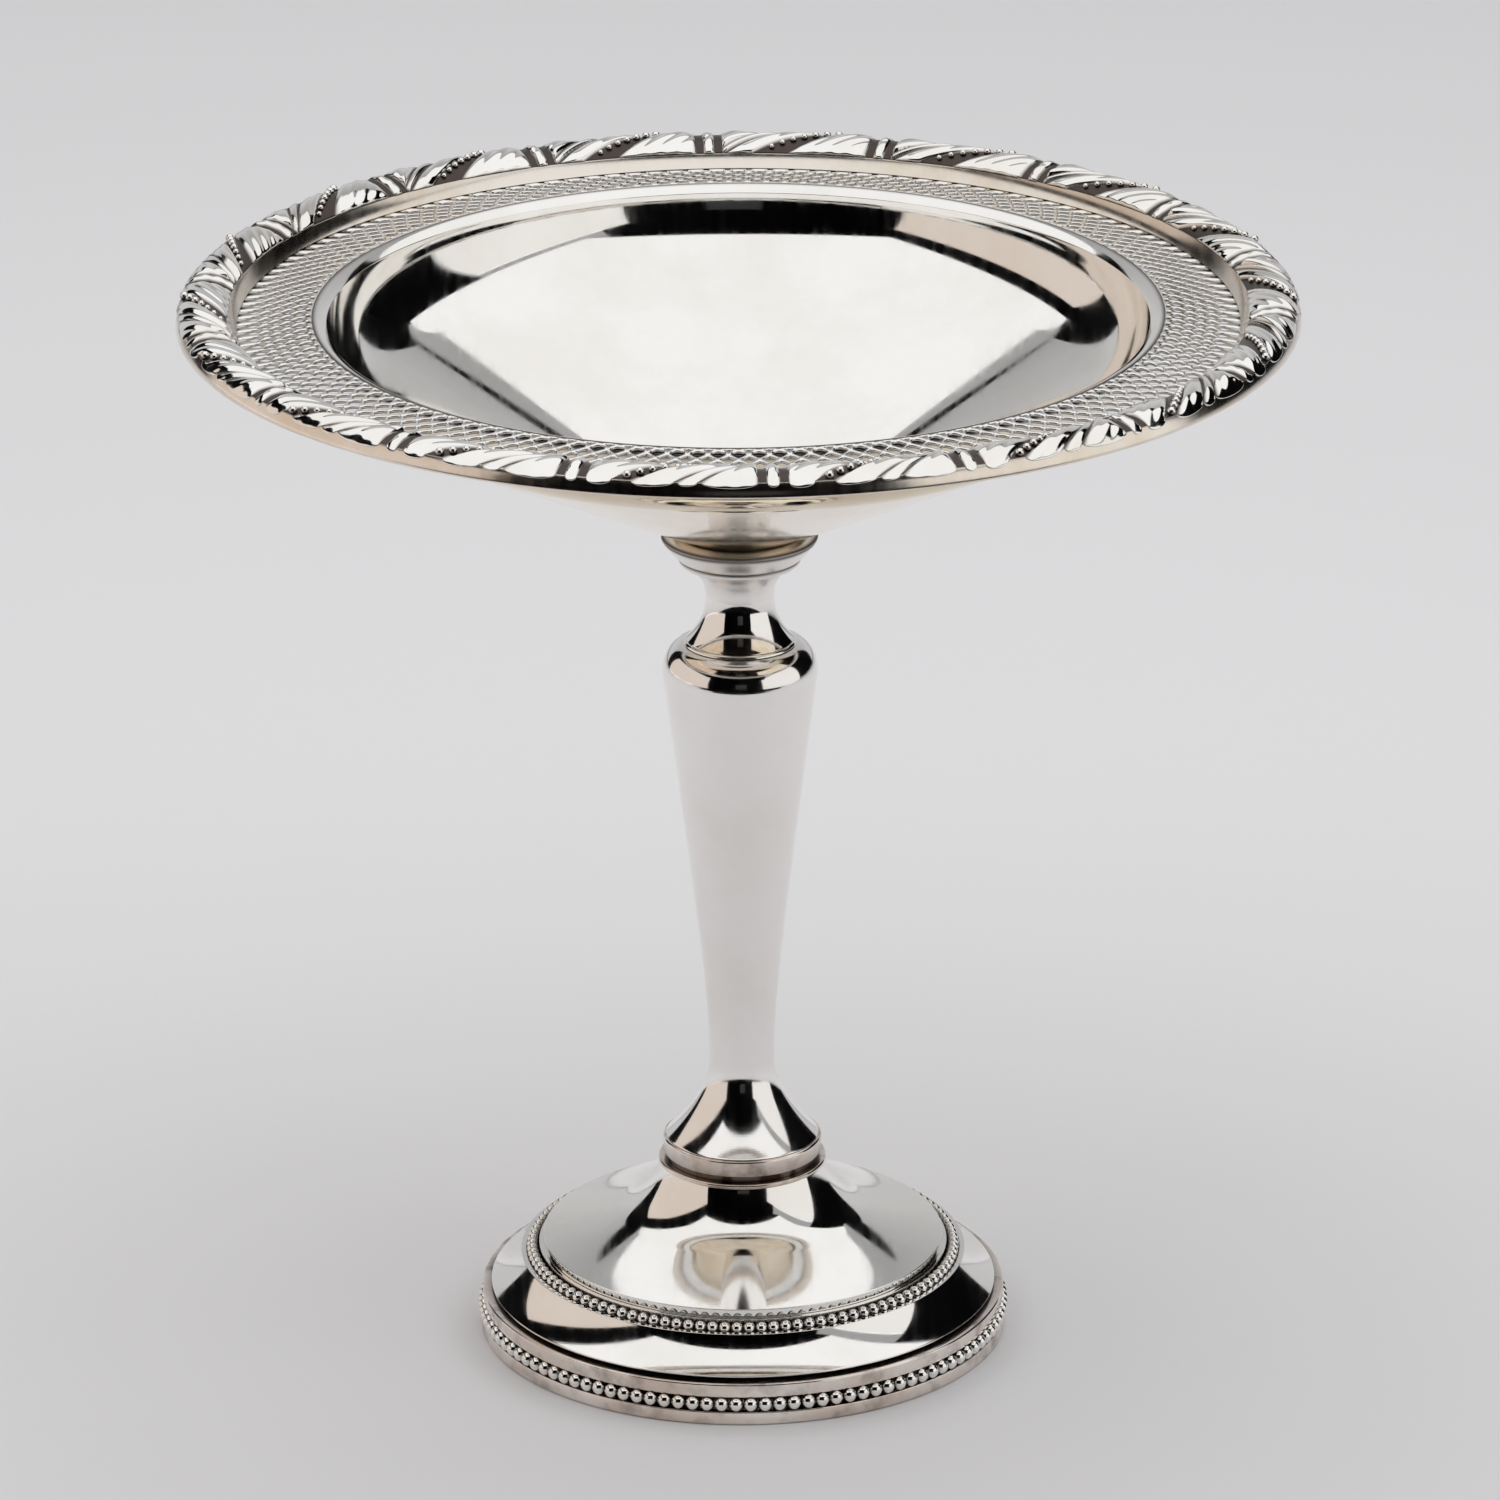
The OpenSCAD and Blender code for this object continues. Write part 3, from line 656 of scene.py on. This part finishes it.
def gallery_sheet():
    """Triangles of one strip with its openings left out, as points and faces in (along, radius)."""
    half = pitch / 2
    pts = [(u * half, r) for r in (gal_in, gal_out) for u in (-1, -0.5, 0, 0.5, 1)]
    edges = [(i, i + 1) for i in range(4)] + [(i, i + 1) for i in range(5, 9)] + [(0, 5), (4, 9)]
    holes = gallery_openings()
    for hole in holes:
        base = len(pts)
        pts += hole
        edges += [(base + i, base + (i + 1) % len(hole)) for i in range(len(hole))]
    res = geometry.delaunay_2d_cdt([Vector(p) for p in pts], edges, [], 0, 1e-6)
    co = [(v.x, v.y) for v in res[0]]
    faces = []
    for f in res[2]:
        c = (sum(co[i][0] for i in f) / len(f), sum(co[i][1] for i in f) / len(f))
        if abs(c[0]) < half and not any(inside_polygon(c, h) for h in holes):
            faces.append(tuple(f))
    return co, faces


def open_edges(co, faces):
    """Edges of a strip that bound an opening or the ring, without its joints to the next strips."""
    seen = {}
    for f in faces:
        for a, b in zip(f, f[1:] + f[:1]):
            if (b, a) in seen:
                del seen[(b, a)]
            else:
                seen[(a, b)] = True
    joint = {i for i, (u, r) in enumerate(co) if abs(abs(u) - pitch / 2) < 1e-5}
    return [(a, b) for a, b in seen if not (a in joint and b in joint)]


def gallery_points(co, z, sector):
    """Lays the points of a strip on the gently falling ring."""
    out = []
    for u, r in co:
        a = (u / pitch + sector) * 2 * math.pi / ARCHES
        drop = (r - gal_in) * GALLERY_FALL
        out.append((r * math.sin(a) * MM, -r * math.cos(a) * MM, (z - drop) * MM))
    return out


def gallery():
    face_z = lip_top - 0.04
    # The underside carries painted shade and tarnish, so the opening walls darken downwards
    shade_and_tarnish_below = 0.7
    co, strip = gallery_sheet()
    edges = open_edges(co, strip)
    verts, faces, values = [], [], []
    for sector in range(ARCHES):
        a = len(verts)
        b = a + len(co)
        verts += gallery_points(co, face_z, sector) + gallery_points(co, face_z - GALLERY_T, sector)
        values += [0.0] * len(co) + [shade_and_tarnish_below] * len(co)
        faces += [tuple(a + i for i in f) for f in strip]
        faces += [(a + j, a + i, b + i, b + j) for i, j in edges]
        faces += [tuple(b + i for i in reversed(f)) for f in strip]
    obj = new_mesh("gallery_net", verts, faces)
    set_shade_and_tarnish(obj, values)
    return dress(obj, chased, "pierced_gallery")


gallery()


# Rim band: a round wall, with a cove inside that runs down onto the gallery, and a little painted shade and
# tarnish where it meets the gallery
def net_top(r):
    """Height just over the gallery's sloping face."""
    return lip_top - (r - gal_in) * GALLERY_FALL


rim_r, rim_low, rim_top = rad("rim_band"), low("rim_band"), top("rim_band")
seat_in = (gal_out + SEAM, low("rim_border") - SEAM - 0.01)
seat_out = (rim_r - 0.62, rim_top)
wall_z = rim_top - 1.8
wall_edge = 0.25
hook_in, hook_t = gal_out - 0.9, 0.3
cove_r = gal_out - 1.3
lathe("rim_band_wall",
      [(hook_in, rim_low), (gal_out + 0.6, rim_low)]
      + bow((gal_out + 0.6, rim_low), (rim_r - wall_edge, wall_z - wall_edge), -60, 20)
      + arc((rim_r - wall_edge, wall_z), wall_edge, wall_edge, -75, -15, 6)
      + bow((rim_r, wall_z), seat_out, 30, 20)
      + bow(seat_in, (cove_r, net_top(cove_r)), -24, 12)
      + [(seat_in[0], net_top(gal_out)), (seat_in[0], rim_low + hook_t), (hook_in, rim_low + hook_t)],
      "rim_band", rim_silver, segments=288,
      painted_shade_and_tarnish=lambda r, z: 0.1 if r < gal_out + 0.3 else 0.0)

# Chased border: one motif as a relief over a low rounded body, repeated round the rim
MOTIFS = 18
MOTIF = 20.0
TURN = 3.4
BODY_H = 0.85
RELIEF_H = 0.8
VEIN_DEPTH, VEIN_GAP, VEIN_LEAN = 0.2, 2.0, 7.2
DROOP_OUT, DROOP_DOWN = 0.56, 0.62
ACROSS_N, ROUND_N = 46, 200


def body(w):
    """Radius and height of the border's ground, w from 0 at its inner to 1 at its outer edge."""
    r = seat_in[0] + 0.1 + (seat_out[0] - seat_in[0] - 0.12) * w
    z = seat_in[1] + 0.12 + (seat_out[1] - seat_in[1]) * w
    return r, z + BODY_H * (1 - (2 * w - 1) ** 2)


def pillow(x, a, b, peak=0.0):
    """A rounded cushion between a and b, highest at peak (-1 to 1) across its width."""
    width = np.maximum(b - a, 1e-3)
    t = (2 * x - a - b) / width
    t = np.where(t < peak, (t - peak) / (1 + peak), (t - peak) / (1 - peak))
    return np.sqrt(np.clip(1 - t * t, 0, 1)) * np.clip(width / 0.9, 0, 1)


def relief_of(phi, w):
    """Height of the motif from 0 to 1; its edges are degrees that lean inwards with s."""
    s = 1 - w
    near = np.where(phi > MOTIF / 2, phi - MOTIF, phi)
    right = 18.5 + 0 * w
    rib = 0.80 * pillow(near, -0.62 + 0 * w, 0.62 + 0 * w)
    lobe = 1.00 * pillow(phi, 1.5 + 0 * w, 4.1 + 6.6 * s, -0.15)
    leaf = 0.92 * pillow(phi, 6.0 + 8.8 * s, 10.3 + 7.6 * s, -0.35)
    blade = 0.72 * pillow(phi, 10.6 + 7.6 * s, np.minimum(12.6 + 6.4 * s, right), -0.2)
    last_lobe = 1.00 * pillow(phi, np.minimum(12.9 + 6.2 * s, right), right, 0.15)
    return np.maximum.reduce([rib, lobe, leaf, blade, last_lobe])


def border_section():
    """Angle, radius, height and painted shade and tarnish over one motif, with the rolled inner and outer
    edges.
    """
    across = np.linspace(0, 1, ACROSS_N)
    phi, w = np.meshgrid(np.arange(ROUND_N) * MOTIF / ROUND_N, across, indexing="ij")
    raw = relief_of(phi, w)
    outer_fade = 1 - np.clip((w - 0.66) / 0.34, 0, 1) ** 2.2
    inner_fade = 0.4 + 0.6 * np.sqrt(np.clip(w / 0.16, 0, 1))
    wave = np.cos(2 * math.pi * (phi - VEIN_LEAN * (1 - w)) / VEIN_GAP)
    height = RELIEF_H * raw * (outer_fade * inner_fade) * (1 - VEIN_DEPTH * (0.5 + 0.5 * wave))
    r, z = body(w)
    ground_r, ground_z = body(across)
    dz = np.gradient(ground_z, ground_r)[None, :]
    length = np.sqrt(1 + dz ** 2)
    droop = raw * w ** 7
    r = r - height * dz / length + DROOP_OUT * droop - 0.22 * raw * (1 - w) ** 7
    z = z + height / length - DROOP_DOWN * droop
    # Painted shade and tarnish in the hollows between the raised parts
    painted_shade_and_tarnish = np.clip((0.5 - raw) / 0.42, 0, 1) ** 1.2

    first_r, first_z, last_r, last_z = r[:, :1], z[:, :1], r[:, -1:], z[:, -1:]
    flat = 0 * first_r
    r = np.concatenate([first_r + 0.45, first_r + 0.04, r, last_r + 0.03, last_r - 0.04, last_r - 0.5], 1)
    z = np.concatenate([first_z - 0.35, first_z - 0.16, z, last_z - 0.07, last_z - 0.16, last_z - 0.2], 1)
    # Painted shade, with tarnish, under the rolled inner and outer edges
    painted_shade_and_tarnish = np.concatenate([flat + 0.9, flat + 0.8, painted_shade_and_tarnish, 0.5 * painted_shade_and_tarnish[:, -1:], flat + 0.4, flat + 0.9], 1)
    return np.broadcast_to(phi[:, :1], r.shape), r, z, painted_shade_and_tarnish


def border():
    phi, r, z, painted_shade_and_tarnish = border_section()
    rows = r.shape[1]
    verts, values, faces = [], [], []
    for m in range(MOTIFS):
        a = np.radians(TURN + MOTIF * m + phi)
        verts.append(np.stack([r * np.sin(a), -r * np.cos(a), z], -1).reshape(-1, 3) * MM)
        values.append(painted_shade_and_tarnish.reshape(-1))
    total = MOTIFS * ROUND_N
    for i in range(total):
        k = (i + 1) % total
        faces += [(i * rows + j, i * rows + j + 1, k * rows + j + 1, k * rows + j) for j in range(rows - 1)]
    obj = new_mesh("border_relief", np.concatenate(verts), faces)
    set_shade_and_tarnish(obj, np.concatenate(values))
    return dress(obj, chased, "rim_border")


border()

# Pearls: leaning strings between the large lobe and the leaf, smaller towards the inner edge
PEARLS = 7
PEARL_R, PEARL_SHRINK = 0.60, 0.035
PEARL_W, PEARL_STEP = 0.93, 0.132
PEARL_AT, PEARL_LEAN = 4.95, 9.0


def pearls():
    ball, quads = unit_ball(12, 8)
    # Painted shade on the lower half of each pearl
    painted_shade_and_tarnish = np.clip(0.5 - ball[:, 2] * 1.4, 0, 1).tolist()
    verts, faces, values = [], [], []
    for m in range(MOTIFS):
        for k in range(PEARLS):
            w = PEARL_W - PEARL_STEP * k
            pearl_r = PEARL_R - PEARL_SHRINK * k
            a = math.radians(TURN + MOTIF * m + PEARL_AT + PEARL_LEAN * (1 - w))
            r, z = body(w)
            centre = np.array([r * math.sin(a), -r * math.cos(a), z + 0.5 * pearl_r])
            faces += [tuple(len(verts) + i for i in q) for q in quads]
            verts += ((ball * pearl_r + centre) * MM).tolist()
            values += painted_shade_and_tarnish
    obj = new_mesh("border_pearls", verts, faces)
    set_shade_and_tarnish(obj, values)
    return dress(obj, chased, None)


pearls()


# Solids kept from the frame: the felt-faced closing disc and the hidden core
def recoat(node, material):
    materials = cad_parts[node].data.materials
    materials.clear()
    materials.append(material)


recoat("base_disc", felt())
filler = core_material("cast_filler", (0.07, 0.065, 0.06), (0.16, 0.15, 0.135), 0.0)
recoat("stem_fill", filler)
recoat("foot_fill", filler)
recoat("core_rod", core_material("rod_steel", (0.35, 0.35, 0.36), (0.5, 0.5, 0.5), 1.0))


# Studio, in metres: a pale floor, soft boxes, and dark sheets that the silver mirrors
def plain(name, colour):
    mat = bpy.data.materials.new(name)
    mat.use_nodes = True
    shader = mat.node_tree.nodes["Principled BSDF"]
    shader.inputs["Base Color"].default_value = (*colour, 1)
    shader.inputs["Roughness"].default_value = 1.0
    shader.inputs["Specular IOR Level"].default_value = 0.0
    return mat


def sheet(name, corners, material, seen=False):
    obj = new_mesh(name, corners, [tuple(range(len(corners)))], smooth=False)
    obj.data.materials.append(material)
    obj.visible_camera = seen
    return obj


def level_sheet(name, corners, z, material, seen=False):
    return sheet(name, [(x, y, z) for x, y in corners], material, seen)


def front_sheet(name, x0, x1, y, z0, z1, material):
    return sheet(name, [(x0, y, z0), (x1, y, z0), (x1, y, z1), (x0, y, z1)], material)


def side_sheet(name, x, y0, y1, z0, z1, material):
    return sheet(name, [(x, y0, z0), (x, y1, z0), (x, y1, z1), (x, y0, z1)], material)


# Overhead panel, as half its width, its front and back edges and its height
PANEL_X, PANEL_FRONT, PANEL_BACK, PANEL_Z = 0.567, -0.472, 0.626, 0.65
# Dark wall in front, which the camera looks through
WALL_LEFT, WALL_RIGHT, WALL_Y, WALL_TOP = -2.5, 1.7, -1.9, 2.15
LEFT_X = -1.6

floor_paper = plain("floor_paper", (0.75, 0.75, 0.765))
level_sheet("floor", [(-4, -4), (4, -4), (4, 4), (-4, 4)], 0, floor_paper, seen=True)
black = plain("flag_black", (0.006, 0.006, 0.007))

# The sheet on the table shows in reflections only, so the floor under it stays lit
flag_table = level_sheet("flag_table", [(-2.6, -2.6), (1.9, -2.6), (1.3, -0.34), (-1.4, -0.34)], 0.002, black)
flag_table.visible_shadow = False
flag_table.visible_diffuse = False

front_sheet("flag_front", WALL_LEFT, WALL_RIGHT, WALL_Y, 0.0, WALL_TOP, black)
sheet("flag_above", [(WALL_LEFT, WALL_Y, WALL_TOP), (WALL_RIGHT, WALL_Y, WALL_TOP),
                     (PANEL_X, PANEL_FRONT, PANEL_Z), (-PANEL_X, PANEL_FRONT, PANEL_Z)], black)
sheet("flag_left", [(LEFT_X, WALL_Y, 0.0), (LEFT_X, 1.72, 0.0), (LEFT_X, 1.72, 2.0),
                    (LEFT_X, 0.95, 1.8), (LEFT_X, -0.95, 1.8), (LEFT_X, WALL_Y, 2.45)], black)
sheet("flag_back_left", [(-0.95, 0.75, 0.0), (-0.80, 0.86, 0.0),
                         (-0.40, 1.00, 0.86), (-0.95, 0.75, 0.88)], black)
sheet("flag_back_right", [(0.95, 0.95, 0.0), (0.90, 1.0, 0.0),
                          (0.42, 1.12, 0.90), (0.95, 0.95, 0.92)], black)
level_sheet("flag_top", [(-0.58, -0.48), (0.58, -0.48), (0.58, 0.635), (-0.58, 0.635)], 0.66, black)
side_sheet("flag_behind", 1.02, -1.54, 0.12, 0.0, 0.92, black)
side_sheet("flag_right", 1.5, 0.20, 1.65, 0.02, 1.7, black)
front_sheet("grey_card", -0.17, 0.23, -1.45, 0.10, 0.50, plain("grey_card", (0.10, 0.10, 0.105)))


def soft_box(name, centre, aim, width, height, radiance, colour):
    light = bpy.data.lights.new(name, "AREA")
    light.shape = "RECTANGLE"
    light.size = width
    light.size_y = height
    light.energy = radiance * math.pi * width * height
    light.color = colour
    obj = bpy.data.objects.new(name, light)
    obj.location = centre
    obj.rotation_euler = (Vector(aim) - Vector(centre)).to_track_quat("-Z", "Y").to_euler()
    obj.visible_camera = False
    bpy.context.scene.collection.objects.link(obj)
    return obj


WHITE, WARM, COOL = (1.0, 1.0, 1.0), (1.0, 0.88, 0.79), (1.0, 0.985, 0.96)
panel_y = (PANEL_FRONT + PANEL_BACK) / 2
soft_box("overhead_box", (0.0, panel_y, PANEL_Z), (0.0, panel_y, 0.0),
         2 * PANEL_X, PANEL_BACK - PANEL_FRONT, 0.96, WHITE)
floor_fill = soft_box("floor_fill", (0.0, 0.3, 0.645), (0.0, 0.3, 0.0), 2.0, 2.0, 0.46, WHITE)
floor_fill.visible_glossy = False
soft_box("left_box", (-1.0, -0.06, 0.375), (0.0, -0.06, 0.375), 1.68, 0.75, 0.71, WARM)
soft_box("right_box", (1.0, -0.71, 0.46), (0.0, -0.71, 0.46), 1.66, 0.92, 0.88, COOL)

# World: pale near the horizon and darker overhead
world = bpy.data.worlds.new("studio")
bpy.context.scene.world = world
world.use_nodes = True
sky = world.node_tree
direction = sky.nodes.new("ShaderNodeTexCoord")
axes = sky.nodes.new("ShaderNodeSeparateXYZ")
sky.links.new(direction.outputs["Generated"], axes.inputs[0])
sky_tone = two_tones(sky, axes.outputs["Z"], (0.57, 0.57, 0.575), (0.36, 0.36, 0.365), ends=(0.2, 0.62))
sky.links.new(sky_tone, sky.nodes["Background"].inputs["Color"])

# Camera: the photo's viewpoint, for a square frame of 1500 pixels
FRAME_PX = 1500
FOCAL_PX = 10108.0
CAMERA_AT = (0.0013, -1.303, 0.575)
DOWN_DEG, ROLL_DEG = 20.60, -0.25
camera = bpy.data.cameras.new("camera")
camera.sensor_width = 36.0
camera.lens = FOCAL_PX * camera.sensor_width / FRAME_PX
camera.clip_start = 0.05
camera.clip_end = 20
view = bpy.data.objects.new("camera", camera)
view.matrix_world = (Matrix.Translation(CAMERA_AT)
                     @ Matrix.Rotation(math.radians(90 - DOWN_DEG), 4, "X")
                     @ Matrix.Rotation(math.radians(ROLL_DEG), 4, "Z"))
bpy.context.scene.collection.objects.link(view)
bpy.context.scene.camera = view
bpy.context.scene.view_settings.view_transform = "Standard"
